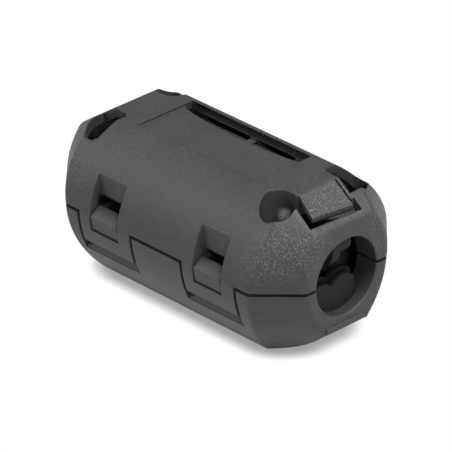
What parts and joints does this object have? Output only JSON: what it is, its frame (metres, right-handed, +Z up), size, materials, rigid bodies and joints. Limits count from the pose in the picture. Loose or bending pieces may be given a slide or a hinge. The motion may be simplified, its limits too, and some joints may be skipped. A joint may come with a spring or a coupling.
{
  "type": "clip-on ferrite bead",
  "caption": "Oblong moulded clip-on case with sloped ends and a round cable passage, hinged open to show its split ferrite core.",
  "frame": {"origin": "middle of the flat underside of the lower shell, straight below the middle of the cable passage", "axes": "+X along the cable, -Y towards the snap straps, +Y towards the hinge, +Z up"},
  "size_m": [0.0436, 0.026, 0.0214],
  "materials": {
    "case_plastic": "fine spark-eroded texture",
    "ferrite": "ground sintered ferrite"
  },
  "bodies": {
    "base": {"lower_shell": "case_plastic", "ferrite_core_lower": "ferrite"},
    "lid": {"upper_shell": "case_plastic", "ferrite_core_upper": "ferrite", "latch_strap_left": "case_plastic", "latch_strap_right": "case_plastic"}
  },
  "joints": [
    {"name": "lid_hinge", "type": "hinge", "parent": "base", "child": "lid", "pos_m": [0, 0.01255, 0.01075], "axis": [-1, 0, 0], "range_deg": [0, 170], "deforming": ["latch_strap_left", "latch_strap_right"]}
  ]
}
